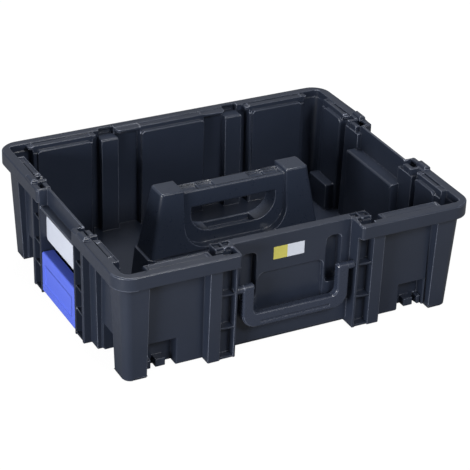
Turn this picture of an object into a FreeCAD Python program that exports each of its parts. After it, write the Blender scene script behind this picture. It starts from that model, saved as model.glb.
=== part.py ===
"""Open stacking tool tray with a carry handle, a folding front handle and two side latches.

Millimetres, +Z up, origin under the middle of the tray, front towards -Y.
"""
import FreeCAD, Part
import math
import os

V = FreeCAD.Vector

# Tray as a whole
LENGTH = 442.0            # over the rim, left to right
DEPTH = 357.0             # over the rim, front to back
RIM_Z = 138.0             # top of the rim ledge
FOOT_H = 3.0              # wall bottoms above the ground
WALL = 3.0
FLOOR_Z = FOOT_H + WALL
HALF_X = LENGTH / 2
HALF_Y = DEPTH / 2

# Wall planes, as distance in from the rim's outer plane, and how far each leans in at the bottom
PILLAR_IN = 7.0
PILLAR_LEAN = 3.0
PANEL_IN = 21.0
PANEL_LEAN = 3.0
CELL_IN = 20.0
RELIEF_IN = 9.0
LEG_IN = 9.0
LEG_LEAN = 6.0
LEG_R = 10.0
BAY_IN = 26.0
SIDE_BAY_IN = 13.0
SIDE_CELL_IN = 18.0
SIDE_STRIP_IN = 11.0
SIDE_PANEL_IN = 18.0
SIDE_PANEL_LEAN = 3.0
SIDE_FIN_IN = 2.5
FIN_LEAN = 2.0

# Stations along the walls, from the middle of each wall
BAY_HALF = 74.5           # clear half width of the front bay
CELL_END = 94.5
STRIP_END = 109.0
LEG_X = HALF_X - 41.0
REAR_PAD_HALF = 40.0
REAR_CELL = 75.5
SIDE_BAY_HALF = 49.0      # clear half width of a side bay
SIDE_CELL_END = 75.0
SIDE_CHEEK = 70.0         # thick outer fin of a side pillar starts here
SIDE_STRIP_END = 91.5
LEG_Y = HALF_Y - 43.5
FIN = 3.0

# Rim
RIM_R = 24.0
RIM_W = 11.5
RIM_INNER_R = 5.0
RIM_BAND = 16.0
RIM_BEVEL = 1.2
END_R = 4.0
TAB_DROP = 1.0            # inner tabs lie a little below the ledge
TAB_STEP = 1.5            # tabs stand back from the pads below them
TAB_GROOVE = 1.5
PAD_OUT = 3.0             # pads stand into the tray below the tabs
PAD_TOP = 6.0             # pad tops below the ledge
SHOULDER_Z = RIM_Z - 9.0  # tops of the pads and posts
NOTCH_IN = 6.5
LUG_H = 4.5
TOP_CELL = 4.0            # depth of the small cells in the pillar tops

# Feet and the low pockets of the panels
FOOT_STEP = 0.1
FOOT_BEVEL = 1.4
POCKET_X = (LEG_X - 38.5, LEG_X - 4.0)
POCKET_Y = (LEG_Y - 40.0, LEG_Y - 4.0)
POCKET_Z = 38.0
POCKET_DEEP = 15.5
REAR_POCKET_Z = 29.0
REAR_POCKET_DEEP = 23.0
PEG_Z = (4.0, 14.0)
PEGS = ((11.5, 23.5), (29.0, 33.5))   # pegs along a front pocket
PILLAR_RIBS = (43.0, 84.5)
SIDE_RIBS = (36.0, 65.0, 96.0)
RIB_T = 2.5

# Front bay, its folding handle and label
BAIL_HALF = 66.5
BAIL_ARM = 14.0
BAIL_T = 10.0
BAIL_FRONT = 10.5 - HALF_Y
BAIL_LOW_Z = 35.0
BAIL_BAR = 17.0
BAIL_PIVOT_Z = 85.0
BAIL_PIN_R = 3.0
BAIL_HUB_R = 4.6
BAIL_GAP = 0.5            # side play of the folding handle between the fins
PIN_CLEAR = 0.05          # radial play of every hinge pin
BAY_TOP_W = 10.5
SLOT_X = (44.0, 63.0)
SLOT_Z = (62.0, RIM_Z - 17.0)
SLOT_DEEP = 10.0
GRIP_X = 41.0
GRIP_Z = (34.0, 93.0)
GRIP_DEEP = 5.0
LABEL_X = (-23.0, 15.5)
LABEL_Z = (RIM_Z - 31.0, RIM_Z - 15.5)
LABEL_T = 0.3
BAY_FOOT_Z = 9.0          # the bay wall ends above a rebate
BAY_FOOT_IN = 5.0

# Side latch, its plate, pin and spring
CAVITY_IN = 30.0
CAVITY_Z = RIM_Z - 33.0
LATCH_HALF = 47.6
LATCH_IN = 4.5
LATCH_Z = (7.5, 58.5)
LATCH_TOP_W = 14.0
LATCH_T = 3.0
LATCH_DISH = 0.9
LATCH_PIVOT_IN = 16.0
LATCH_PIVOT_Z = 38.0
LATCH_PIN_R = 2.0
PLATE_HALF = 48.7
PLATE_T = 2.0
PLATE_Z = (RIM_Z - 64.5, RIM_Z - 31.5)
PLATE_R = 6.0
RAIL_Z = (RIM_Z - 24.0, RIM_Z - 21.0)
SPRING_T = 0.6
SPRING_W = 20.0

# Hump in the floor and the carry handle on it
HUMP_X = 113.0
HUMP_Y = 26.0
HUMP_Z = 57.0
HUMP_LEAN = 4.0
HUMP_R = 8.0
BASE_X = 109.5
BASE_Y = 22.0
TOP_X = 95.0
TOP_Y = 15.0
TOWER_Z = 136.0
TOWER_IN = 66.0
TOWER_R = 5.0
GRIP_TOP_Z = 131.5
GRIP_LOW_Z = 109.0
GRIP_Y = 11.0
GRIP_R = 3.0
GRIP_CELLS = ((23.0, 42.0), (44.5, 63.0))
GRIP_CELL_Y = ((-7.5, 2.5), (4.5, 7.5))
GRIP_CELL = 2.5
TROUGH = 8.0              # hollow in the lower bar of the handle
HOLE_HALF = 55.0
HOLE_LOW_Z = 76.0
HOLE_R = 25.0
SCREW = (88.0, 9.0)
SCREW_R = 2.0
SCREW_HEAD = (4.5, 3.0)     # radius over the corners and height of a hexagon head
SCREW_LONG = 16.0
BOSS = 4.0                # half width of a screw boss

# Each wall from its middle to the leg, as steps of (end, inset, lean)
FRONT_WALL = ((BAY_HALF + 1.5, BAY_IN, 0.0), (CELL_END, CELL_IN, PILLAR_LEAN),
              (STRIP_END, PILLAR_IN, PILLAR_LEAN), (LEG_X, PANEL_IN, PANEL_LEAN))
REAR_WALL = ((REAR_PAD_HALF, CELL_IN, PILLAR_LEAN), (REAR_CELL, RELIEF_IN, PILLAR_LEAN),
             (CELL_END - WALL, CELL_IN, PILLAR_LEAN), (STRIP_END, PILLAR_IN, PILLAR_LEAN),
             (LEG_X, PANEL_IN, PANEL_LEAN))
SIDE_WALL = ((SIDE_BAY_HALF + 1.5, SIDE_BAY_IN, 0.0), (SIDE_CELL_END, SIDE_CELL_IN, PILLAR_LEAN),
             (SIDE_STRIP_END, SIDE_STRIP_IN, PILLAR_LEAN), (LEG_Y, SIDE_PANEL_IN, SIDE_PANEL_LEAN))


def box(x, y, z):
    """Box between two limits along each axis."""
    return Part.makeBox(x[1] - x[0], y[1] - y[0], z[1] - z[0], V(x[0], y[0], z[0]))


def rounded(shape, radius, pick):
    """Fillet the edges whose middle satisfies the test."""
    return shape.makeFillet(radius, [e for e in shape.Edges if pick(e, e.CenterOfMass)])


def bevelled(shape, size, pick):
    """Chamfer the edges whose middle satisfies the test."""
    return shape.makeChamfer(size, [e for e in shape.Edges if pick(e, e.CenterOfMass)])


def upright(edge):
    """True for an edge that runs along Z."""
    return edge.BoundBox.ZLength > 0.99 * edge.Length


def both_x(shape):
    """The shape and its mirror image across the middle plane."""
    return [shape, shape.mirror(V(0, 0, 0), V(1, 0, 0))]


def both_y(shape):
    """The shape and its mirror image from front to back."""
    return [shape, shape.mirror(V(0, 0, 0), V(0, 1, 0))]


def four(shape):
    """The shape in all four corners."""
    return [copy for half in both_x(shape) for copy in both_y(half)]


def front_box(x, inset, z):
    """Box in the front wall, its depth measured in from the rim's outer plane."""
    return box(x, (inset[0] - HALF_Y, inset[1] - HALF_Y), z)


def right_box(y, inset, z):
    """Box in the right wall, its depth measured in from the rim's outer plane."""
    return box((HALF_X - inset[1], HALF_X - inset[0]), y, z)


def half_wall(wall, level):
    """Plan steps of half a wall, middle to leg; level runs from 0 at the top to 1 at the bottom."""
    pairs = []
    for end, inset, lean in wall:
        if pairs:
            pairs.append((pairs[-1][0], inset + lean * level))
        pairs.append((end, inset + lean * level))
    return pairs + [(pairs[-1][0], LEG_IN + LEG_LEAN * level)]


def outline(level):
    """Stepped plan of the tray's outside, anticlockwise from the front left leg."""
    front, side, rear = [
        [(-a, i) for a, i in reversed(half)] + half
        for half in (half_wall(wall, level) for wall in (FRONT_WALL, SIDE_WALL, REAR_WALL))]
    leg_x = HALF_X - LEG_IN - LEG_LEAN * level
    leg_y = HALF_Y - LEG_IN - LEG_LEAN * level
    points = [(a, i - HALF_Y) for a, i in front] + [(leg_x, -leg_y)]
    points += [(HALF_X - i, a) for a, i in side] + [(leg_x, leg_y)]
    points += [(-a, HALF_Y - i) for a, i in rear] + [(-leg_x, leg_y)]
    return points + [(i - HALF_X, -a) for a, i in side] + [(-leg_x, -leg_y)]


def shrunk(points, gap):
    """Square-cornered plan moved inwards by an even gap."""
    moved = []
    for k, (x, y) in enumerate(points):
        before = points[k - 1]
        after = points[(k + 1) % len(points)]
        left_x = -math.copysign(gap, y - before[1]) if abs(y - before[1]) > 1e-6 else 0.0
        left_y = math.copysign(gap, x - before[0]) if abs(x - before[0]) > 1e-6 else 0.0
        left_x += -math.copysign(gap, after[1] - y) if abs(after[1] - y) > 1e-6 else 0.0
        left_y += math.copysign(gap, after[0] - x) if abs(after[0] - x) > 1e-6 else 0.0
        moved.append((x + left_x, y + left_y))
    return moved


def between(low, high, z):
    """Solid with flat sides between two anticlockwise plans of the same steps."""
    bottom = [V(x, y, z[0]) for x, y in low]
    top = [V(x, y, z[1]) for x, y in high]
    rings = [bottom[::-1], top]
    for k in range(len(bottom)):
        n = (k + 1) % len(bottom)
        rings.append([bottom[k], bottom[n], top[n], top[k]])
    return Part.Solid(Part.Shell([Part.Face(Part.makePolygon(ring + ring[:1])) for ring in rings]))


def level_at(z):
    """Lean of the walls at a height, 0 at the rim and 1 at the wall bottoms."""
    return (RIM_Z - z) / (RIM_Z - FOOT_H)


def leg_edge(edge, mid):
    """True for the outer corner edge of a leg."""
    return edge.Length > 50 and abs(mid.x) > HALF_X - 18 and abs(mid.y) > HALF_Y - 18


def plan_plate(inset, radius, z):
    """Plate with the rim's rounded plan, a distance in from its outer plane."""
    plate = box((inset - HALF_X, HALF_X - inset), (inset - HALF_Y, HALF_Y - inset), z)
    return rounded(plate, radius, lambda e, m: upright(e))


def bays(extra, z):
    """Openings of the front and side bays through the rim, made wider by an extra amount."""
    half = SIDE_BAY_HALF + extra
    side = right_box((-half, half), (-5, SIDE_BAY_IN + extra), z)
    front = front_box((-BAY_HALF - extra, BAY_HALF + extra), (-5, BAY_IN + extra), z)
    return both_x(side) + [front]


def rim():
    """Ledge and skirt round the top, open at the bays and hollow below."""
    top = (RIM_Z - RIM_BAND, RIM_Z)
    ring = plan_plate(0, RIM_R, top).cut(plan_plate(RIM_W, RIM_INNER_R, (0, RIM_Z + 1)))
    ring = ring.cut(bays(0, (0, RIM_Z + 1)))
    ring = rounded(ring, END_R, lambda e, m: upright(e) and e.Length > RIM_BAND - 1 and (
        abs(m.y) < SIDE_BAY_HALF + 0.1 and abs(m.x) > HALF_X - 0.1 or
        abs(m.x) < BAY_HALF + 0.1 and m.y < 0.1 - HALF_Y))
    ring = bevelled(ring, RIM_BEVEL, lambda e, m: m.z > RIM_Z - 0.01 and (
        abs(m.x) > HALF_X - 10 or abs(m.y) > HALF_Y - 10))
    groove = plan_plate(WALL, RIM_R - WALL, (0, RIM_Z - WALL)).cut(
        plan_plate(RIM_W - WALL, RIM_INNER_R + WALL, (-1, RIM_Z)))
    return ring.cut(groove.cut(bays(FIN, (-1, RIM_Z))))


def kept_tops():
    """Zones above the shoulders where pads and bay walls run up to the rim."""
    z = (0, RIM_Z + 2)
    pad = front_box((STRIP_END - WALL, LEG_X + WALL), (-5, PANEL_IN + WALL - TAB_STEP), z)
    side_pad = right_box((SIDE_STRIP_END - WALL, LEG_Y + WALL), (-5, SIDE_PANEL_IN + WALL - TAB_STEP), z)
    middle = REAR_PAD_HALF + WALL
    rear_inset = CELL_IN + WALL - TAB_STEP
    rear = box((-middle, middle), (HALF_Y - rear_inset, HALF_Y + 5), z)
    bay = front_box((-BAY_HALF - 1.5 - WALL, BAY_HALF + 1.5 + WALL), (-5, BAY_IN + WALL), z)
    half = SIDE_BAY_HALF + 1.5 + WALL
    side_bay = right_box((-half, half), (-5, SIDE_BAY_IN + WALL), z)
    return four(pad) + four(side_pad) + both_x(side_bay) + [rear, bay]


def tabs():
    """Flat tabs that widen the ledge over the pads, each with rounded inner corners behind a thin groove."""
    z = (RIM_Z - TAB_DROP - WALL, RIM_Z - TAB_DROP)
    inner = RIM_W - 2
    reach = PANEL_IN + WALL - TAB_STEP
    side_reach = SIDE_PANEL_IN + WALL - TAB_STEP
    front = front_box((STRIP_END + 2, LEG_X + 2), (inner, reach), z)
    rear = front_box((STRIP_END - 8, LEG_X + 8), (inner, reach), z)
    side = right_box((SIDE_CELL_END + 8, LEG_Y - 11), (inner, side_reach), z)
    middle = front_box((3 - REAR_CELL, REAR_CELL - 3), (inner, CELL_IN + WALL - TAB_STEP), z)
    front, rear, middle = [rounded(plate, END_R, lambda e, m: upright(e) and m.y > reach - HALF_Y - 2)
                           for plate in (front, rear, middle)]
    side = rounded(side, END_R, lambda e, m: upright(e) and m.x < HALF_X - side_reach + 2)
    back = [plate.mirror(V(0, 0, 0), V(0, 1, 0)) for plate in both_x(rear) + [middle]]
    return both_x(front) + back + four(side)


def tab_grooves():
    """Thin grooves between the ledge and its tabs."""
    z = (RIM_Z - TAB_DROP - TAB_GROOVE, RIM_Z + 1)
    y = (RIM_W, RIM_W + TAB_GROOVE)
    front = front_box((STRIP_END + 3, LEG_X + 1), y, z)
    rear = front_box((STRIP_END - 7, LEG_X + 7), y, z).mirror(V(0, 0, 0), V(0, 1, 0))
    side = right_box((SIDE_CELL_END + 9, LEG_Y - 12), y, z)
    return both_x(front) + both_x(rear) + four(side)


def pads():
    """Thicker pads of the panels inside, each with rounded top corners."""
    z = (FLOOR_Z - 1, RIM_Z - PAD_TOP)
    middle = REAR_PAD_HALF + WALL - 1
    pad = front_box((STRIP_END, LEG_X - 2), (PANEL_IN + 1, PANEL_IN + WALL + PAD_OUT), z)
    centre = front_box((-middle, middle), (CELL_IN + 1, CELL_IN + WALL + PAD_OUT), z)
    side_inner = SIDE_PANEL_IN + WALL + PAD_OUT
    side = right_box((SIDE_STRIP_END - WALL, LEG_Y - 7), (SIDE_PANEL_IN + 1, side_inner), z)
    pad, centre = [rounded(p, END_R, lambda e, m: e.BoundBox.YLength > 0.99 * e.Length and m.z > z[1] - 0.1)
                   for p in (pad, centre)]
    side = rounded(side, END_R, lambda e, m: e.BoundBox.XLength > 0.99 * e.Length and m.z > z[1] - 0.1)
    return four(pad) + four(side) + [centre.mirror(V(0, 0, 0), V(0, 1, 0))]


def shell():
    """Legs, pillars, panels and floor at an even wall, with the rim and its tabs."""
    outside = rounded(between(outline(1), outline(0), (FOOT_H, RIM_Z)), LEG_R, leg_edge)
    low = shrunk(outline(level_at(FLOOR_Z)), WALL)
    high = shrunk(outline(level_at(SHOULDER_Z)), WALL)
    inside = rounded(between(low, high, (FLOOR_Z, SHOULDER_Z)), LEG_R - WALL, leg_edge)
    upper = plan_plate(RIM_W, RIM_INNER_R, (SHOULDER_Z, RIM_Z + 1)).cut(kept_tops())
    body = outside.fuse([rim()]).cut([inside, upper])
    return body.fuse(tabs() + pads()).cut(tab_grooves())


def wedge(low, high, z):
    """Block between two rectangles, each given by its limits in X and Y, at its bottom and its top."""
    plans = [[(x[0], y[0]), (x[1], y[0]), (x[1], y[1]), (x[0], y[1])] for x, y in (low, high)]
    return between(plans[0], plans[1], z)


def front_pillars():
    """Fins, cell ribs and roofs of the front pillars, with a ribbed top beside the bay."""
    thick = (BAY_HALF, BAY_HALF + FIN)
    edge = PILLAR_IN + 1 - HALF_Y
    back = BAY_IN + WALL - HALF_Y
    fin = wedge((thick, (edge + PILLAR_LEAN, back)), (thick, (edge, back)), (FOOT_H, RIM_Z))
    cell = (BAY_HALF + FIN, CELL_END)
    start = PILLAR_IN + PILLAR_LEAN + 0.5
    ribs = [front_box(cell, (start, CELL_IN + 1), (mid - RIB_T / 2, mid + RIB_T / 2)) for mid in PILLAR_RIBS]
    foot = front_box(cell, (start + 1, CELL_IN + PILLAR_LEAN), (FOOT_H, FLOOR_Z))
    roof = front_box(cell, (WALL, CELL_IN + 1), (SHOULDER_Z - WALL, SHOULDER_Z))
    inner = BAY_IN + BAY_TOP_W
    post = front_box((BAY_HALF, CELL_END + WALL), (CELL_IN + 1, inner), (FLOOR_Z - 1, RIM_Z))
    core = front_box(cell, (CELL_IN + WALL, inner - WALL), (0, RIM_Z - TOP_CELL - WALL))
    post = post.cut(core)
    wide = (CELL_END + WALL - BAY_HALF) / 2
    long = (inner - RIM_W) / 2
    for row in (0, 1):
        for side in (0, 1):
            x = BAY_HALF + 1.2 + side * wide
            y = RIM_W + 1.5 + row * long
            cup = front_box((x, x + wide - 2.4), (y, y + long - 2.7), (RIM_Z - TOP_CELL, RIM_Z + 1))
            post = post.cut(cup)
    return [fin, foot, roof, post] + ribs


def rear_posts():
    """Roofs of the rear posts, which lie in a notch of the ledge."""
    return [box((REAR_CELL, CELL_END - WALL), (HALF_Y - CELL_IN - 1, HALF_Y - WALL),
                (SHOULDER_Z - WALL, SHOULDER_Z))]


def side_pillars():
    """Fins, cell ribs, roof and raised top block of one side pillar."""
    edge = HALF_X - SIDE_FIN_IN
    fins = []
    thin = (SIDE_BAY_HALF, SIDE_BAY_HALF + FIN)
    thick = (SIDE_CHEEK, SIDE_CELL_END)
    for y, back in ((thin, SIDE_BAY_IN), (thick, SIDE_CELL_IN)):
        inner = HALF_X - back - WALL
        fins.append(wedge(((inner, edge - FIN_LEAN), y), ((inner, edge), y), (FOOT_H, RIM_Z - 1)))
    cell = (SIDE_BAY_HALF + FIN, SIDE_CHEEK)
    start = SIDE_FIN_IN + FIN_LEAN + 1
    deep = (start, SIDE_CELL_IN + 2)
    ribs = [right_box(cell, deep, (mid - RIB_T / 2, mid + RIB_T / 2)) for mid in SIDE_RIBS]
    foot = right_box(cell, (start, SIDE_CELL_IN + WALL), (FOOT_H, FLOOR_Z))
    roof = right_box((SIDE_BAY_HALF + 1, SIDE_CELL_END), (WALL, SIDE_CELL_IN + WALL),
                     (SHOULDER_Z - WALL, SHOULDER_Z))
    block = right_box((SIDE_BAY_HALF + 7, SIDE_CHEEK - 1), (RIM_W + 2, SIDE_CELL_IN + WALL - 1),
                      (SHOULDER_Z - 1, RIM_Z - 2))
    block = bevelled(block, 1.0, lambda e, m: m.z > RIM_Z - 2.1)
    return fins + ribs + [foot, roof, block]


def notches():
    """Cuts in the ledge over the pillars, down to the posts."""
    z = (SHOULDER_Z, RIM_Z + 1)
    rear = box((REAR_CELL - 2, CELL_END - 1), (HALF_Y - RIM_W - 3, HALF_Y - NOTCH_IN), z)
    front = front_box((BAY_HALF + FIN, CELL_END), (NOTCH_IN, RIM_W), z)
    side = right_box((SIDE_BAY_HALF + FIN, SIDE_CELL_END - 3), (NOTCH_IN, RIM_W + 1), z)
    return both_x(rear) + both_x(front) + four(side)


def lugs():
    """Small rounded lugs on the side ledges beside the pillars."""
    lug = right_box((SIDE_CHEEK - 4, SIDE_STRIP_END - 7), (0.5, 8.5), (RIM_Z - 2, RIM_Z + LUG_H))
    return four(bevelled(lug, 2.0, lambda e, m: m.z > RIM_Z + LUG_H - 0.1))


def plinth(half_x, half_y, lean, z):
    """Rectangular block with leaning sides, given its half sizes at the top."""
    sizes = [((-x, x), (-y, y)) for x, y in ((half_x + lean[0], half_y + lean[1]), (half_x, half_y))]
    return wedge(sizes[0], sizes[1], z)


def corner(edge, mid):
    """True for a leaning corner edge of a plinth."""
    return edge.BoundBox.ZLength > 20


def hump():
    """Raised hump of the floor under the handle, as its outside and its hollow."""
    lean = (HUMP_LEAN, HUMP_LEAN)
    outside = plinth(HUMP_X, HUMP_Y, lean, (FLOOR_Z - 1, HUMP_Z))
    hollow = plinth(HUMP_X - WALL, HUMP_Y - WALL, lean, (FOOT_H - 1, HUMP_Z - WALL))
    return bevelled(outside, HUMP_R, corner), bevelled(hollow, HUMP_R - WALL, corner)


def pocket(x, top, deep):
    """Inner block and hollow of one low pocket in the front wall, open below."""
    block = front_box((x[0] - WALL, x[1] + WALL), (PANEL_IN + PANEL_LEAN + 1, PANEL_IN + deep + WALL),
                      (FOOT_H, top + WALL))
    inner = PANEL_IN + deep + WALL - HALF_Y
    block = bevelled(block, WALL / 2, lambda e, m: m.z > top + WALL - 0.1 and m.y > inner - 0.1)
    return block, front_box(x, (PANEL_IN - 1, PANEL_IN + deep), (0, top))


def pockets():
    """Low pockets in the panels, as inner blocks, hollows and pegs."""
    x, y = POCKET_X, POCKET_Y
    block, hollow = pocket(x, POCKET_Z, POCKET_DEEP)
    rear_block, rear_hollow = [piece.mirror(V(0, 0, 0), V(0, 1, 0))
                               for piece in pocket(x, REAR_POCKET_Z, REAR_POCKET_DEEP)]
    side_deep = SIDE_PANEL_IN + POCKET_DEEP
    side_start = SIDE_PANEL_IN + SIDE_PANEL_LEAN + 1
    side = right_box((y[0] - WALL, y[1] + WALL), (side_start, side_deep + WALL), (FOOT_H, POCKET_Z + WALL))
    side_hollow = right_box(y, (SIDE_PANEL_IN - 1, side_deep), (0, POCKET_Z))
    pegs = []
    for start, end in PEGS:
        peg = front_box((x[0] + start, x[0] + end), (PANEL_IN + 5, PANEL_IN + POCKET_DEEP + 1), PEG_Z)
        pegs += both_x(peg)
    blocks = both_x(block) + both_x(rear_block) + four(side)
    return blocks, both_x(hollow) + both_x(rear_hollow) + four(side_hollow), pegs


def side_housings():
    """Latch housings inside the side walls, their cavities, and the catch rail above each."""
    half = SIDE_BAY_HALF + FIN
    block = right_box((-half, half), (SIDE_BAY_IN + 1, CAVITY_IN + WALL), (FOOT_H, CAVITY_Z + WALL))
    block = rounded(block, 3.0, lambda e, m: m.x < HALF_X - CAVITY_IN and m.z > CAVITY_Z + 2)
    cavity = right_box((-SIDE_BAY_HALF, SIDE_BAY_HALF), (-5, CAVITY_IN), (0, CAVITY_Z))
    rail = right_box((-SIDE_BAY_HALF - 1, SIDE_BAY_HALF + 1), (SIDE_FIN_IN + 1.5, SIDE_BAY_IN + 1), RAIL_Z)
    seat = right_box((PLATE_HALF - 3, SIDE_BAY_HALF + 1), (SIDE_BAY_IN, SIDE_BAY_IN + 2), PLATE_Z)
    return both_x(block), both_x(cavity), both_x(rail) + four(seat)


def bay_front():
    """Slot boxes and finger recess of the front bay, as inner blocks and hollows, and its broad top."""
    blocks = []
    voids = []
    slot = front_box(SLOT_X, (BAY_IN - 1, BAY_IN + SLOT_DEEP), SLOT_Z)
    slot = rounded(slot, 5.0, lambda e, m: e.BoundBox.YLength > 0.99 * e.Length)
    around = front_box((SLOT_X[0] - WALL, SLOT_X[1] + WALL), (BAY_IN + 1, BAY_IN + SLOT_DEEP + WALL),
                       (SLOT_Z[0] - WALL, SLOT_Z[1] + WALL))
    blocks += both_x(around)
    voids += both_x(slot)
    grip = front_box((-GRIP_X, GRIP_X), (BAY_IN - 1, BAY_IN + GRIP_DEEP), GRIP_Z)
    voids.append(rounded(grip, 6.0, lambda e, m: e.BoundBox.YLength > 0.99 * e.Length))
    blocks.append(front_box((-GRIP_X - WALL, GRIP_X + WALL), (BAY_IN + 1, BAY_IN + GRIP_DEEP + WALL),
                            (GRIP_Z[0] - WALL, GRIP_Z[1] + WALL)))
    wide = (-BAY_HALF, BAY_HALF)
    blocks.append(front_box(wide, (BAY_IN, BAY_IN + BAY_TOP_W), (RIM_Z - WALL, RIM_Z)))
    blocks.append(front_box(wide, (BAY_IN + 1, BAY_IN + BAY_FOOT_IN + WALL), (FOOT_H, BAY_FOOT_Z + WALL)))
    voids.append(front_box(wide, (BAY_IN - 1, BAY_IN + BAY_FOOT_IN), (0, BAY_FOOT_Z)))
    return blocks, voids


def feet():
    """Bottoms of the legs, which run a little below the walls."""
    edge = LEG_IN + LEG_LEAN + FOOT_STEP
    foot = box((LEG_X + FOOT_STEP, HALF_X - edge), (LEG_Y + FOOT_STEP, HALF_Y - edge), (0, FOOT_H + 1))
    foot = rounded(foot, LEG_R, lambda e, m: upright(e) and
                   m.x > HALF_X - edge - 1 and m.y > HALF_Y - edge - 1)
    return four(bevelled(foot, FOOT_BEVEL, lambda e, m: m.z < 0.1))


def bores():
    """Holes for the handle pins, latch pins and screws."""
    bail = Part.makeCylinder(BAIL_PIN_R + PIN_CLEAR, 2 * BAY_HALF + 2 * FIN + 4,
                             V(-BAY_HALF - FIN - 2, BAIL_FRONT + BAIL_T / 2, BAIL_PIVOT_Z), V(1, 0, 0))
    half = SIDE_BAY_HALF + FIN
    pin = Part.makeCylinder(LATCH_PIN_R + PIN_CLEAR, 2 * half,
                            V(HALF_X - LATCH_PIVOT_IN, -half, LATCH_PIVOT_Z), V(0, 1, 0))
    screw = Part.makeCylinder(SCREW_R + 0.3, 2 * WALL, V(SCREW[0], SCREW[1], HUMP_Z - 1.5 * WALL))
    return [bail] + both_x(pin) + four(screw)


def tub():
    """The moulded tray."""
    blocks, voids, pegs = pockets()
    housings, cavities, rails = side_housings()
    bay_blocks, bay_voids = bay_front()
    outside, hollow = hump()
    pillars = [copy for piece in front_pillars() for copy in both_x(piece)]
    pillars += [copy for piece in side_pillars() for copy in four(piece)]
    posts = [copy for piece in rear_posts() for copy in both_x(piece)]
    body = shell().cut(notches())
    body = body.fuse(blocks + housings + bay_blocks + pillars + posts + feet() + lugs() + [outside])
    body = body.cut(voids + cavities + bay_voids + [hollow])
    body = body.fuse(pegs + rails)
    return body.cut(bores()).removeSplitter()


def carry_handle():
    """Two leaning towers joined by a grip above and a bar below, hollow from underneath."""
    body = plinth(TOP_X, TOP_Y, (BASE_X - TOP_X, BASE_Y - TOP_Y), (HUMP_Z, TOWER_Z))
    body = rounded(body, TOWER_R, corner)
    low = HUMP_Z + 4
    recess = box((-TOWER_IN, TOWER_IN), (-BASE_Y - 1, -GRIP_Y), (low, TOWER_Z + 1))
    recess = rounded(recess, 28.0, lambda e, m: e.BoundBox.YLength > 0.99 * e.Length and m.z < low + 0.1)
    body = body.cut(both_y(recess))
    body = body.cut(box((-TOWER_IN, TOWER_IN), (-BASE_Y, BASE_Y), (GRIP_TOP_Z, TOWER_Z + 1)))
    hole = box((-HOLE_HALF, HOLE_HALF), (-BASE_Y - 1, BASE_Y + 1), (HOLE_LOW_Z, GRIP_LOW_Z))
    hole = rounded(hole, HOLE_R, lambda e, m: e.BoundBox.YLength > 0.99 * e.Length and m.z < HOLE_LOW_Z + 0.1)
    body = body.cut(hole)
    body = bevelled(body, 1.5, lambda e, m: m.z > TOWER_Z - 0.01)
    body = rounded(body, GRIP_R, lambda e, m: e.BoundBox.XLength > 60 and abs(m.y) > GRIP_Y - 0.1 and
                   GRIP_LOW_Z - 0.1 < m.z < GRIP_TOP_Z + 0.1)
    half = HOLE_HALF - HOLE_R
    body = body.cut(box((-half, half), (WALL - GRIP_Y, GRIP_Y - WALL), (HOLE_LOW_Z - TROUGH, HOLE_LOW_Z + 1)))
    for x in GRIP_CELLS:
        for y in GRIP_CELL_Y:
            body = body.cut(both_x(box(x, y, (GRIP_TOP_Z - GRIP_CELL, TOWER_Z))))
    return body.cut(tower_cores()).removeSplitter()


def tower_cores():
    """Hollows of the towers from below, beside a rib that holds the screw bosses."""
    top = 124.0
    share = (TOWER_Z - top) / (TOWER_Z - HUMP_Z)
    out_x = TOP_X + (BASE_X - TOP_X) * share - WALL
    out_y = TOP_Y + (BASE_Y - TOP_Y) * share - WALL
    low = [(TOWER_IN + WALL + 4, BASE_Y - WALL), (BASE_X - WALL, BASE_Y - WALL)]
    high = [(TOWER_IN + WALL, out_y), (out_x, out_y)]
    sizes = [((a[0], b[0]), (-b[1], b[1])) for a, b in (low, high)]
    core = wedge(sizes[0], sizes[1], (HUMP_Z - 0.01, top))
    core = core.cut(box((SCREW[0] - 1.25, SCREW[0] + 1.25), (-BASE_Y, BASE_Y), (0, TOWER_Z)))
    for y in (-SCREW[1], SCREW[1]):
        core = core.cut(box((SCREW[0] - BOSS, SCREW[0] + BOSS), (y - BOSS, y + BOSS), (0, TOWER_Z)))
        core = core.fuse(Part.makeCylinder(SCREW_R + PIN_CLEAR, SCREW_LONG, V(SCREW[0], y, HUMP_Z - 1)))
    return both_x(core)


def handle_screws():
    """Four hexagon-head screws from below, through the hump into the handle's bosses."""
    seat = HUMP_Z - WALL
    points = []
    for k in range(6):
        turn = math.radians(60 * k)
        points.append(V(SCREW[0] + SCREW_HEAD[0] * math.cos(turn), SCREW[1] + SCREW_HEAD[0] * math.sin(turn),
                        seat - SCREW_HEAD[1]))
    head = Part.Face(Part.makePolygon(points + points[:1])).extrude(V(0, 0, SCREW_HEAD[1]))
    shank = Part.makeCylinder(SCREW_R, SCREW_LONG, V(SCREW[0], SCREW[1], seat))
    return Part.makeCompound(four(head.fuse(shank).removeSplitter()))


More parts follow.
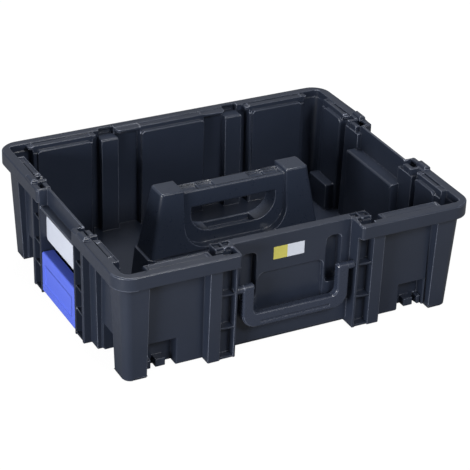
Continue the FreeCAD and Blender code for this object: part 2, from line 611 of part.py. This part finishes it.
def bail_handle():
    """Folding handle of one thick bent bar, with its pivot stubs."""
    top = BAIL_PIVOT_Z + BAIL_T / 2
    y = (BAIL_FRONT, BAIL_FRONT + BAIL_T)
    bar = box((-BAIL_HALF, BAIL_HALF), y, (BAIL_LOW_Z, top))
    bar = rounded(bar, 18.0, lambda e, m: e.BoundBox.YLength > 0.99 * e.Length and m.z < BAIL_LOW_Z + 0.1)
    inner = BAIL_HALF - BAIL_ARM
    gap = box((-inner, inner), (y[0] - 1, y[1] + 1), (BAIL_LOW_Z + BAIL_BAR, top + 1))
    gap = rounded(gap, 7.0, lambda e, m: e.BoundBox.YLength > 0.99 * e.Length and
                  m.z < BAIL_LOW_Z + BAIL_BAR + 0.1)
    bar = bar.cut(gap)
    bar = rounded(bar, BAIL_T / 2 - 0.3, lambda e, m: m.z > top - 0.01 and e.BoundBox.XLength > BAIL_ARM - 1)
    bar = bevelled(bar, 1.5, lambda e, m: m.y < y[0] + 0.01 and m.z < BAIL_PIVOT_Z)
    ends = BAIL_HALF - 23
    groove = box((-ends, ends), (y[0] - 1, y[0] + 0.8), (BAIL_LOW_Z + 5, BAIL_LOW_Z + 7.5))
    bar = bar.cut(groove)
    middle = y[0] + BAIL_T / 2
    stubs = []
    for side in (-1, 1):
        start = V(side * (BAIL_HALF - 1), middle, BAIL_PIVOT_Z)
        stubs.append(Part.makeCylinder(BAIL_HUB_R, BAY_HALF - BAIL_HALF + 1 - BAIL_GAP, start, V(side, 0, 0)))
        stubs.append(Part.makeCylinder(BAIL_PIN_R, BAY_HALF + FIN - BAIL_HALF + 1, start, V(side, 0, 0)))
    return bar.fuse(stubs).removeSplitter()


def latch():
    """Right-hand rocker latch: an angled cover with two webs for its pin and a hook below."""
    front = HALF_X - LATCH_IN
    back = front - LATCH_T
    deep = front - LATCH_TOP_W
    z0, z1 = LATCH_Z
    pivot = V(HALF_X - LATCH_PIVOT_IN, -LATCH_HALF, LATCH_PIVOT_Z)
    hook = back - 5
    corners = [(front, z0), (front, z1), (deep, z1), (deep, z1 - LATCH_T), (back, z1 - LATCH_T),
               (back, z0 + LATCH_T), (hook, z0 + LATCH_T), (hook, z0)]
    points = [V(x, -LATCH_HALF, z) for x, z in corners]
    cover = Part.Face(Part.makePolygon(points + points[:1])).extrude(V(0, 2 * LATCH_HALF, 0))
    cover = rounded(cover, 2.5, lambda e, m: m.x > front - 0.01 and m.z > z1 - 0.01)
    cover = rounded(cover, 1.0, lambda e, m: m.x > front - 0.01 and m.z < z0 + 0.01)
    dish = box((front - LATCH_DISH, front + 1), (8 - LATCH_HALF, LATCH_HALF - 8), (z0 + 11, z1 - 14))
    cover = cover.cut(bevelled(dish, LATCH_DISH / 2, lambda e, m: m.x < front - LATCH_DISH + 0.01))
    web = box((pivot.x - 5, back + 0.5), (LATCH_HALF - LATCH_T, LATCH_HALF), (LATCH_PIVOT_Z - 9, z1 - 1))
    body = cover.fuse(both_y(web))
    bore = Part.makeCylinder(LATCH_PIN_R + PIN_CLEAR, 2 * LATCH_HALF, pivot, V(0, 1, 0))
    return body.cut(bore).removeSplitter()


def latch_pin():
    """Right-hand steel pin from fin to fin."""
    half = SIDE_BAY_HALF + FIN - 0.2
    start = V(HALF_X - LATCH_PIVOT_IN, -half, LATCH_PIVOT_Z)
    return Part.makeCylinder(LATCH_PIN_R, 2 * half, start, V(0, 1, 0))


def latch_spring():
    """Right-hand strip spring, its foot on the cavity's back and its tip behind the cover."""
    back = HALF_X - CAVITY_IN
    tip = HALF_X - LATCH_IN - LATCH_T - 0.1
    z = LATCH_PIVOT_Z
    foot = back + SPRING_T / 2
    end = tip - SPRING_T / 2
    mids = [(foot, z - 20), (foot, z + 3), (back + 5, z + 9), (tip - 4, z + 14.5), (end, z + 13),
            (end, z + 9)]
    face = strip(mids, SPRING_T)
    return face.extrude(V(0, SPRING_W, 0))


def strip(mids, thick):
    """Flat face of even thickness along a bent line in the XZ plane."""
    left, right = [], []
    for k, (x, z) in enumerate(mids):
        near = [mids[j] for j in (k - 1, k, k + 1) if 0 <= j < len(mids)]
        normals = []
        for a, b in zip(near, near[1:]):
            long = math.hypot(b[0] - a[0], b[1] - a[1])
            normals.append(((a[1] - b[1]) / long, (b[0] - a[0]) / long))
        nx = sum(n[0] for n in normals)
        nz = sum(n[1] for n in normals)
        size = math.hypot(nx, nz)
        reach = thick / 2 / (size / len(normals))
        left.append(V(x + nx / size * reach, -SPRING_W / 2, z + nz / size * reach))
        right.append(V(x - nx / size * reach, -SPRING_W / 2, z - nz / size * reach))
    ring = left + right[::-1]
    return Part.Face(Part.makePolygon(ring + ring[:1]))


def side_plate():
    """Right-hand plate between the fins, over the top of the cavity."""
    plate = right_box((-PLATE_HALF, PLATE_HALF), (SIDE_BAY_IN - PLATE_T, SIDE_BAY_IN), PLATE_Z)
    plate = rounded(plate, PLATE_R, lambda e, m: e.BoundBox.XLength > 0.99 * e.Length)
    return bevelled(plate, 0.5, lambda e, m: m.x > HALF_X - SIDE_BAY_IN + PLATE_T - 0.01)


def front_label():
    """Thin sticker on the front bay."""
    return front_box(LABEL_X, (BAY_IN - LABEL_T, BAY_IN), LABEL_Z)


os.makedirs("parts", exist_ok=True)
tub().exportStep("parts/tub.step")
carry_handle().exportStep("parts/carry_handle.step")
handle_screws().exportStep("parts/handle_screws.step")
bail_handle().exportStep("parts/bail_handle.step")
front_label().exportStep("parts/front_label.step")
for name, piece in (("latch", latch()), ("latch_pin", latch_pin()), ("latch_spring", latch_spring()),
                    ("side_plate", side_plate())):
    right, left = both_x(piece)
    right.exportStep(f"parts/{name}_right.step")
    left.exportStep(f"parts/{name}_left.step")
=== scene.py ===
"""Looks of an open stacking tool tray with a carry handle, a folding front handle and two side latches.

Metres, +Z up, front towards -Y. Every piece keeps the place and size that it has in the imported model.
"""
import bmesh
import bpy
import math
import numpy as np
from mathutils import Matrix, Vector


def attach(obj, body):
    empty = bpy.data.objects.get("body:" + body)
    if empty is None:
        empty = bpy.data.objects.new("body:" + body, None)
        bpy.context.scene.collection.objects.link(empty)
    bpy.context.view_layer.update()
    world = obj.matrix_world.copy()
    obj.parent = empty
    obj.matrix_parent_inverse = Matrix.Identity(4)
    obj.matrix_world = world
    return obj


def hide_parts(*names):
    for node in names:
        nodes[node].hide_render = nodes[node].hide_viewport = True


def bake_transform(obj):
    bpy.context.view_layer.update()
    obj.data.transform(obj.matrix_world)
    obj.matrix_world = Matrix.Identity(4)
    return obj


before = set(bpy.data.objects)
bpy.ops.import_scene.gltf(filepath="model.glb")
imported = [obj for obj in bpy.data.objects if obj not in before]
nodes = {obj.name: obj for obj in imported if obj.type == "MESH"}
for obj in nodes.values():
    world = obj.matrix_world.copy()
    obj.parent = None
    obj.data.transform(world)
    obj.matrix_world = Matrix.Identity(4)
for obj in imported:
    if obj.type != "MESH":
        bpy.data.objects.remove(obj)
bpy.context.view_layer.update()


# Tub: the tray itself, one large injection moulding in black impact polypropylene. The walls step in and
# out round pillars, panels and legs, and the mould's spark-eroded faces leave a fine matt grain on them.
# Everything else is screwed, pinned or glued to it.
millimetre = 0.001
weld = 0.01 * millimetre


def to_linear(code):
    """Linear colour of an sRGB hex code: a straight part near black, and a power of 2.4 above it."""
    levels = [int(code[k:k + 2], 16) / 255 for k in (1, 3, 5)]
    return [v / 12.92 if v <= 0.04045 else ((v + 0.055) / 1.055) ** 2.4 for v in levels] + [1.0]


def add(tree, kind, inputs=None, **settings):
    """Adds a node with its settings; an input is a value, or the output socket that is linked to it."""
    node = tree.nodes.new("ShaderNode" + kind)
    for name, value in settings.items():
        setattr(node, name, value)
    for key, value in (inputs or {}).items():
        if isinstance(value, bpy.types.NodeSocket):
            tree.links.new(value, node.inputs[key])
        else:
            node.inputs[key].default_value = value
    return node


def new_material(name):
    """An empty node material and its tree."""
    material = bpy.data.materials.new(name)
    material.use_nodes = True
    material.node_tree.nodes.clear()
    return material, material.node_tree


def moulded_black(name, body, edge_wear_and_highlight, grain_mm, grain_depth_mm, roughness, edge_mm):
    """Black polypropylene as it leaves a mould: slow drifts of colour from the melt, a fine matt grain, and
    a paler, smoother line along the proud edges, partly wear from handling and partly a painted highlight.
    The edge is where the surface, rounded by a small radius, turns away from its own face and stands
    proud. The grain is drawn coarser than the real one, so that it shows."""
    drift_mm, scuff_mm = 60, 9
    plain_face_cosine, edge_line_cosine = 0.985, 0.86
    flat_pointiness, proud_pointiness = 0.5, 0.53
    scuff_low, scuff_high = 0.3, 0.7
    burnished = 0.25
    material, tree = new_material(name)
    place = add(tree, "TexCoord").outputs["Object"]
    drift = add(tree, "TexNoise", {"Vector": place, "Scale": 1 / (drift_mm * millimetre), "Detail": 3.0})
    grain = add(tree, "TexNoise", {"Vector": place, "Scale": 1 / (grain_mm * millimetre), "Detail": 2.0})
    scuff = add(tree, "TexNoise", {"Vector": place, "Scale": 1 / (scuff_mm * millimetre), "Detail": 6.0,
                                   "Roughness": 0.7})
    soft = add(tree, "Bevel", {"Radius": edge_mm * millimetre}, samples=8)
    surface = add(tree, "NewGeometry")
    turn = add(tree, "VectorMath", {0: soft.outputs["Normal"], 1: surface.outputs["Normal"]},
               operation="DOT_PRODUCT")
    edge = add(tree, "MapRange", {"Value": turn.outputs["Value"], "From Min": plain_face_cosine,
                                  "From Max": edge_line_cosine, "To Min": 0.0, "To Max": 1.0})
    proud = add(tree, "MapRange", {"Value": surface.outputs["Pointiness"], "From Min": flat_pointiness,
                                   "From Max": proud_pointiness})
    patchy_wear_and_highlight = add(tree, "MapRange", {"Value": scuff.outputs["Fac"], "From Min": scuff_low,
                                    "From Max": scuff_high, "To Min": 0.5})
    edge = add(tree, "Math", {0: edge.outputs["Result"], 1: proud.outputs["Result"]}, operation="MULTIPLY")
    wear_and_highlight = add(tree, "Math", {0: edge.outputs["Value"], 1: patchy_wear_and_highlight.outputs["Result"]}, operation="MULTIPLY")
    tone = add(tree, "Mix", {"Factor": drift.outputs["Fac"], "A": to_linear(body[0]),
                             "B": to_linear(body[1])}, data_type="RGBA")
    # Paler line on proud edges: partly wear from handling, partly a painted highlight where a rounded edge
    # catches the light.
    colour = add(tree, "Mix", {"Factor": wear_and_highlight.outputs["Value"], "A": tone.outputs["Result"],
                               "B": to_linear(edge_wear_and_highlight)}, data_type="RGBA")
    rough = add(tree, "MapRange", {"Value": scuff.outputs["Fac"], "From Min": scuff_low,
                                   "From Max": scuff_high, "To Min": roughness - 0.05,
                                   "To Max": roughness + 0.05})
    sheen = add(tree, "Mix", {"Factor": edge.outputs["Value"], "A": rough.outputs["Result"], "B": burnished})
    bump = add(tree, "Bump", {"Height": grain.outputs["Fac"], "Strength": 0.5,
                              "Distance": grain_depth_mm * millimetre, "Normal": soft.outputs["Normal"]})
    shader = add(tree, "BsdfPrincipled", {"Base Color": colour.outputs["Result"],
                                          "Roughness": sheen.outputs["Result"],
                                          "IOR": 1.49, "Normal": bump.outputs["Normal"]})
    add(tree, "OutputMaterial", {"Surface": shader.outputs["BSDF"]})
    return material


def dress(names, material):
    """Gives the named pieces of the model one finish."""
    for name in names:
        mesh = nodes[name].data
        mesh.materials.clear()
        mesh.materials.append(material)


def rounding(mesh, small_mm, wide_mm, shortest_mm):
    """Radius of each edge in millimetres. Long edges, straight for at least the shortest length, whose two
    faces turn by more than the least turn get the small radius; outside edges that stand well inside the
    tray and face its upright axis get the wide one. All others stay sharp."""
    least_turn = math.radians(40.0)
    inner_half_sizes_mm = (206, 163, 131)
    shortest_wide_mm = 12
    shape = bmesh.new()
    shape.from_mesh(mesh)
    bmesh.ops.remove_doubles(shape, verts=shape.verts, dist=weld)
    radius = {}
    for edge in shape.edges:
        ends = (np.array([vertex.co for vertex in edge.verts]) / millimetre).round(2)
        length = np.linalg.norm(ends[0] - ends[1])
        turn = edge.calc_face_angle_signed(0.0) if len(edge.link_faces) == 2 else 0.0
        if length < shortest_mm or abs(turn) < least_turn:
            continue
        normal = np.array(edge.link_faces[0].normal) + np.array(edge.link_faces[1].normal)
        faces_axis = normal[:2] @ ends.mean(axis=0)[:2] < 0
        inside = np.all(np.abs(ends) < inner_half_sizes_mm) and faces_axis
        wide = inside and turn > 0 and length > shortest_wide_mm
        radius[frozenset(map(tuple, ends))] = wide_mm if wide else small_mm
    shape.free()
    points = [tuple(point) for point in (np.array([v.co for v in mesh.vertices]) / millimetre).round(2)]
    return [radius.get(frozenset(points[k] for k in edge.vertices), 0.0) for edge in mesh.edges]


def soften(names, small_mm, wide_mm, shortest_mm):
    """Rounds the edges of a moulding as its mould does: the loose triangles are joined at their corners, and
    each chosen edge is bevelled by its own radius. Edges that are still sharp part the shading."""
    for name in names:
        mesh = nodes[name].data
        weights = np.array(rounding(mesh, small_mm, wide_mm, shortest_mm)) / wide_mm
        mesh.attributes.new("bevel_weight_edge", "FLOAT", "EDGE").data.foreach_set("value", weights)
        joined = nodes[name].modifiers.new("joined", "WELD")
        joined.merge_threshold = weld
        edges = nodes[name].modifiers.new("edges", "BEVEL")
        edges.limit_method = "WEIGHT"
        edges.width = wide_mm * millimetre
        edges.segments = 3
        edges.use_clamp_overlap = False
        parted = nodes[name].modifiers.new("parted", "EDGE_SPLIT")
        parted.split_angle = math.radians(38.0)
        shading = nodes[name].modifiers.new("shading", "WEIGHTED_NORMAL")
        shading.weight = 80


soften(["tub"], small_mm=0.8, wide_mm=2.4, shortest_mm=7.0)
# The third colour is the paler edge line: partly wear, partly a painted highlight.
matt_black = moulded_black("moulded_polypropylene_matt_black", ("#1e2430", "#262c3a"), "#828898",
                           grain_mm=0.9, grain_depth_mm=0.05, roughness=0.34, edge_mm=1.4)
dress(["tub"], matt_black)


# Rim webs: six short webs of the tub's own polypropylene between the tabs inside the rim and the posts
# beside them, a little below the ledge. The real tub has them in one moulding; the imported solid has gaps.
def boxes(corners_mm):
    """Closed boxes from pairs of opposite corners: eight points each, every mix of low and high, and six
    faces."""
    sides = ((0, 2, 3, 1), (4, 5, 7, 6), (0, 1, 5, 4), (2, 6, 7, 3), (0, 4, 6, 2), (1, 3, 7, 5))
    points, faces = [], []
    for low, high in corners_mm:
        first = len(points)
        points += [[(low, high)[k >> axis & 1][axis] * millimetre for axis in range(3)] for k in range(8)]
        faces += [[first + k for k in side] for side in sides]
    return points, faces


def new_piece(name, points, faces, material):
    """A mesh piece at the origin, in one material."""
    mesh = bpy.data.meshes.new(name)
    mesh.from_pydata(points, [], faces)
    mesh.materials.append(material)
    piece = bpy.data.objects.new(name, mesh)
    bpy.context.scene.collection.objects.link(piece)
    return piece


web_bottom, web_top = 134.0, 136.9
side_gap_rear = ((202.6, 123.7), (209.8, 135.3))
side_gap_front = ((202.6, -135.3), (209.8, -123.7))
front_gap = ((108.7, -167.3), (111.3, -157.2))
webs = []
for (near_x, low_y), (far_x, high_y) in (side_gap_rear, side_gap_front, front_gap):
    webs.append(((near_x, low_y, web_bottom), (far_x, high_y, web_top)))
    webs.append(((-far_x, low_y, web_bottom), (-near_x, high_y, web_top)))
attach(new_piece("rim_webs", *boxes(webs), matt_black), "tray")


# Carry handle: one hollow moulding of the same black polypropylene, two towers joined by a grip. Its tool
# was polished a little finer than the tub's, and it is screwed to the hump from below.
soften(["carry_handle"], small_mm=1.2, wide_mm=1.2, shortest_mm=9.0)
# The third colour is the paler edge line: partly wear, partly a painted highlight.
satin_black = moulded_black("moulded_polypropylene_satin_black", ("#212734", "#29303e"), "#5e6474",
                            grain_mm=0.7, grain_depth_mm=0.02, roughness=0.3, edge_mm=2.0)
dress(["carry_handle"], satin_black)


# Handle screws: four zinc-plated steel hexagon screws, driven up through the hump into the handle.
# The plating is bright with a faint cloudiness.
def finished_steel(name, tint, roughness):
    """Steel with a metal finish: brightness drifts a little over a few millimetres."""
    cloud_mm = 4
    material, tree = new_material(name)
    place = add(tree, "TexCoord").outputs["Object"]
    cloud = add(tree, "TexNoise", {"Vector": place, "Scale": 1 / (cloud_mm * millimetre), "Detail": 4.0})
    tone = add(tree, "Mix", {"Factor": cloud.outputs["Fac"], "A": to_linear(tint[0]),
                             "B": to_linear(tint[1])}, data_type="RGBA")
    rough = add(tree, "MapRange", {"Value": cloud.outputs["Fac"], "To Min": roughness - 0.06,
                                   "To Max": roughness + 0.06})
    shader = add(tree, "BsdfPrincipled", {"Base Color": tone.outputs["Result"], "Metallic": 1.0,
                                          "Roughness": rough.outputs["Result"]})
    add(tree, "OutputMaterial", {"Surface": shader.outputs["BSDF"]})
    return material


dress(["handle_screws"], finished_steel("zinc_plated_steel", ("#b4b8bc", "#c8ccd0"), roughness=0.3))


# Front handle: a thick bent bar of black polypropylene that folds down into the front bay. Its two round
# stubs turn in holes of the tub's fins.
soften(["bail_handle"], small_mm=0.7, wide_mm=0.7, shortest_mm=5.0)
# The third colour is the paler edge line: partly wear, partly a painted highlight.
handle_black = moulded_black("moulded_polypropylene_handle_black", ("#232936", "#2b3140"), "#888e9e",
                             grain_mm=0.8, grain_depth_mm=0.02, roughness=0.28, edge_mm=1.4)
dress(["bail_handle"], handle_black)


# Side latches: rocker covers moulded in blue ABS with a satin skin, each on a steel pin between two fins.
# The dye drifts by a shade over each cover.
def satin_blue():
    """Blue ABS: two close blues that drift over a few centimetres, a very fine grain, drawn coarser than the
    real one so that it shows, and softly rounded edges."""
    drift_mm, grain_mm, grain_depth_mm, edge_mm = 30, 0.8, 0.04, 0.8
    material, tree = new_material("moulded_abs_satin_blue")
    place = add(tree, "TexCoord").outputs["Object"]
    drift = add(tree, "TexNoise", {"Vector": place, "Scale": 1 / (drift_mm * millimetre), "Detail": 3.0})
    grain = add(tree, "TexNoise", {"Vector": place, "Scale": 1 / (grain_mm * millimetre), "Detail": 2.0})
    soft = add(tree, "Bevel", {"Radius": edge_mm * millimetre}, samples=6)
    tone = add(tree, "Mix", {"Factor": drift.outputs["Fac"], "A": to_linear("#4c60cc"),
                             "B": to_linear("#586cd6")}, data_type="RGBA")
    rough = add(tree, "MapRange", {"Value": drift.outputs["Fac"], "To Min": 0.3, "To Max": 0.4})
    bump = add(tree, "Bump", {"Height": grain.outputs["Fac"], "Strength": 0.4,
                              "Distance": grain_depth_mm * millimetre, "Normal": soft.outputs["Normal"]})
    shader = add(tree, "BsdfPrincipled", {"Base Color": tone.outputs["Result"],
                                          "Roughness": rough.outputs["Result"],
                                          "IOR": 1.53, "Normal": bump.outputs["Normal"]})
    add(tree, "OutputMaterial", {"Surface": shader.outputs["BSDF"]})
    return material


soften(["latch_left", "latch_right"], small_mm=0.6, wide_mm=0.6, shortest_mm=5.0)
dress(["latch_left", "latch_right"], satin_blue())


# Latch pins and springs: a drawn steel pin from fin to fin and a bent strip of spring steel behind each
# cover, which pushes the latch shut and bends with it. Both are hidden in normal use.
drawn_steel = finished_steel("drawn_steel", ("#a9adb2", "#bfc3c8"), roughness=0.28)
dress(["latch_pin_left", "latch_pin_right"], drawn_steel)


def bent_strip(line_mm, thick_mm, wide_mm):
    """Spring strip: each corner of a bent mid-line is cut three times at a quarter of its sides, so that it
    turns in an arc; the line is moved by half the thickness along its normal, both ways, and swept across
    the width."""
    line = np.array(line_mm)
    for _ in range(3):
        early = 0.75 * line[:-1] + 0.25 * line[1:]
        late = 0.25 * line[:-1] + 0.75 * line[1:]
        cut = np.stack([early, late], axis=1).reshape(-1, 2)
        line = np.vstack([line[:1], cut[1:-1], line[-1:]])
    along = np.gradient(line, axis=0)
    normal = np.stack([-along[:, 1], along[:, 0]], axis=1) / np.linalg.norm(along, axis=1)[:, None]
    rows = [(line + side * thick_mm / 2 * normal, y) for side, y in ((-1, -1), (1, -1), (1, 1), (-1, 1))]
    points = np.concatenate([np.insert(row, 1, y * wide_mm / 2, axis=1) for row, y in rows]) * millimetre
    count = len(line)
    faces = [[a * count + k, a * count + k + 1, b * count + k + 1, b * count + k]
             for a, b in ((0, 1), (1, 2), (2, 3), (3, 0)) for k in range(count - 1)]
    ends = [[3 * count, 2 * count, count, 0], [count - 1, 2 * count - 1, 3 * count - 1, 4 * count - 1]]
    return points, faces + ends


# The mid-line, out and up from the tray's middle: a flat foot on the wall, a rise and a hooked end.
strip_line_mm = [(191.3, 18.0), (191.3, 41.0), (196.0, 47.0), (209.4, 52.5), (213.0, 51.0), (213.0, 47.0)]
spring_steel = finished_steel("blued_spring_steel", ("#5a6068", "#727880"), roughness=0.32)
strip_points, strip_faces = bent_strip(strip_line_mm, thick_mm=0.6, wide_mm=20.0)
for side, sign in (("left", -1.0), ("right", 1.0)):
    points = strip_points * (sign, 1.0, 1.0)
    faces = [face[::int(sign)] for face in strip_faces]
    spring = new_piece("spring_strip_" + side, points.tolist(), faces, spring_steel)
    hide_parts("latch_spring_" + side)
    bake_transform(spring)


# Side plates: flat caps moulded in pale grey ABS and glued between the fins above each latch.
# A smooth, slightly cool white with a soft sheen.
def pale_grey():
    """Pale grey ABS: near white, drifting by a shade over a few centimetres, with a faint orange-peel
    skin."""
    drift_mm, peel_mm, peel_depth_mm = 25, 1.5, 0.03
    material, tree = new_material("moulded_abs_pale_grey")
    place = add(tree, "TexCoord").outputs["Object"]
    drift = add(tree, "TexNoise", {"Vector": place, "Scale": 1 / (drift_mm * millimetre), "Detail": 3.0})
    peel = add(tree, "TexNoise", {"Vector": place, "Scale": 1 / (peel_mm * millimetre), "Detail": 2.0})
    tone = add(tree, "Mix", {"Factor": drift.outputs["Fac"], "A": to_linear("#b6bbc9"),
                             "B": to_linear("#c0c5d1")}, data_type="RGBA")
    rough = add(tree, "MapRange", {"Value": drift.outputs["Fac"], "To Min": 0.35, "To Max": 0.45})
    bump = add(tree, "Bump", {"Height": peel.outputs["Fac"], "Strength": 0.3,
                              "Distance": peel_depth_mm * millimetre})
    shader = add(tree, "BsdfPrincipled", {"Base Color": tone.outputs["Result"],
                                          "Roughness": rough.outputs["Result"],
                                          "IOR": 1.53, "Normal": bump.outputs["Normal"]})
    add(tree, "OutputMaterial", {"Surface": shader.outputs["BSDF"]})
    return material


dress(["side_plate_left", "side_plate_right"], pale_grey())


# Front label: a thin vinyl sticker, pressed on the front bay. It has two blank fields, a yellow one on the
# left and a white one, under a clear film.
def two_field_vinyl():
    """Printed vinyl: the colour steps from yellow to white across one upright line, and each field is
    faintly mottled."""
    step_from_mm, step_to_mm = -6.0, -5.6
    mottle_mm = 3
    material, tree = new_material("printed_vinyl_film")
    place = add(tree, "TexCoord").outputs["Object"]
    across = add(tree, "SeparateXYZ", {"Vector": place}).outputs["X"]
    field = add(tree, "MapRange", {"Value": across, "From Min": step_from_mm * millimetre,
                                   "From Max": step_to_mm * millimetre})
    mottle = add(tree, "TexNoise", {"Vector": place, "Scale": 1 / (mottle_mm * millimetre), "Detail": 4.0})
    yellow = add(tree, "Mix", {"Factor": mottle.outputs["Fac"], "A": to_linear("#b0a94f"),
                               "B": to_linear("#bab35b")}, data_type="RGBA")
    white = add(tree, "Mix", {"Factor": mottle.outputs["Fac"], "A": to_linear("#b9bec9"),
                              "B": to_linear("#c3c8d2")}, data_type="RGBA")
    tone = add(tree, "Mix", {"Factor": field.outputs["Result"], "A": yellow.outputs["Result"],
                             "B": white.outputs["Result"]}, data_type="RGBA")
    rough = add(tree, "MapRange", {"Value": mottle.outputs["Fac"], "To Min": 0.28, "To Max": 0.36})
    shader = add(tree, "BsdfPrincipled", {"Base Color": tone.outputs["Result"],
                                          "Roughness": rough.outputs["Result"], "IOR": 1.5})
    add(tree, "OutputMaterial", {"Surface": shader.outputs["BSDF"]})
    return material


dress(["front_label"], two_field_vinyl())


# Floor: a wide sheet of white photo paper that the tray stands on. It is seen as white from the camera
# and keeps a faint shadow round the feet. From below it is clear, so that the underside can be seen.
def paper_sheet(half, z):
    """Flat grid of three by three points over a square, at one height, and its four faces."""
    side = np.linspace(-half, half, 3)
    x, y = np.meshgrid(side, side)
    points = np.stack([x.ravel(), y.ravel(), np.full(x.size, z)], axis=1)
    return points.tolist(), [(c, c + 1, c + 4, c + 3) for c in (0, 1, 3, 4)]


paper, tree = new_material("white_paper")
seen = add(tree, "LightPath").outputs["Is Camera Ray"]
diffuse = add(tree, "BsdfDiffuse", {"Color": to_linear("#7e7e7e")})
share = add(tree, "Math", {0: seen, 1: 0.8}, operation="MULTIPLY")
glow = add(tree, "Emission", {"Color": to_linear("#ffffff"), "Strength": 1.22})
lift = add(tree, "MixShader", {"Fac": share.outputs["Value"], 1: diffuse.outputs["BSDF"],
                               2: glow.outputs["Emission"]})
clear = add(tree, "BsdfTransparent")
below = add(tree, "NewGeometry").outputs["Backfacing"]
whole = add(tree, "MixShader", {"Fac": below, 1: lift.outputs["Shader"], 2: clear.outputs["BSDF"]})
add(tree, "OutputMaterial", {"Surface": whole.outputs["Shader"]})
floor = new_piece("floor", *paper_sheet(half=6.0, z=-0.2 * millimetre), paper)


# Studio: a white tent with a large soft lamp low on the left, one above and behind, and one high in front.
# The camera sees the tent as plain white, and the tray sees it much dimmer.
tent_on_matt, tent_on_gloss, tent_in_view = 0.35, 0.3, 1.0
world = bpy.data.worlds.new("tent")
world.use_nodes = True
bpy.context.scene.world = world
tree = world.node_tree
tree.nodes.clear()
path = add(tree, "LightPath")
seen = add(tree, "Math", {0: path.outputs["Is Camera Ray"], 1: path.outputs["Is Transmission Ray"]},
           operation="MAXIMUM")
shine = add(tree, "MapRange", {"Value": path.outputs["Is Glossy Ray"], "To Min": tent_on_matt,
                               "To Max": tent_on_gloss})
level = add(tree, "Mix", {"Factor": seen.outputs["Value"], "A": shine.outputs["Result"], "B": tent_in_view})
tent = add(tree, "Background", {"Color": to_linear("#ffffff"), "Strength": level.outputs["Result"]})
add(tree, "OutputWorld", {"Surface": tent.outputs["Background"]})
lamp_target = Vector((0, 0, 0.06))
for name, place, power, width in (("left_lamp", (-1.9, -0.9, 0.25), 66.0, 0.9),
                                  ("top_lamp", (0.1, 0.6, 2.0), 29.0, 0.8),
                                  ("front_lamp", (0.4, -2.1, 1.8), 43.0, 0.7)):
    lamp = bpy.data.lights.new(name, "AREA")
    lamp.energy = power
    lamp.size = width
    holder = bpy.data.objects.new(name, lamp)
    holder.location = place
    holder.rotation_euler = (lamp_target - Vector(place)).to_track_quat("-Z", "Y").to_euler()
    bpy.context.scene.collection.objects.link(holder)


# Camera: a long lens from the front left, well above the tray, rolled by two degrees.
# Its place is worked out from the angle, the distance and the point at the middle of the frame.
turn, rise, roll = (math.radians(angle) for angle in (-27.98, 28.60, 1.99))
shift_right, shift_up, distance, drop = 0.00808, 0.05160, 2.27648, 0.002
focal_px, picture_px = 1904.78, 470
back = Vector((math.sin(turn) * math.cos(rise), -math.cos(turn) * math.cos(rise), math.sin(rise)))
right = Vector((math.cos(turn), math.sin(turn), 0.0))
up = back.cross(right)
eye = shift_right * right + shift_up * up + distance * back - Vector((0.0, 0.0, drop))
axes = (right * math.cos(roll) + up * math.sin(roll), up * math.cos(roll) - right * math.sin(roll), back)
lens = bpy.data.cameras.new("camera")
lens.sensor_width = 36.0
lens.lens = focal_px / picture_px * lens.sensor_width
lens.clip_start = 0.05
lens.clip_end = 60.0
camera = bpy.data.objects.new("camera", lens)
camera.matrix_world = Matrix([[a[k] for a in axes] + [eye[k]] for k in range(3)] + [[0.0, 0.0, 0.0, 1.0]])
bpy.context.scene.collection.objects.link(camera)
bpy.context.scene.camera = camera
bpy.context.scene.view_settings.view_transform = "Standard"
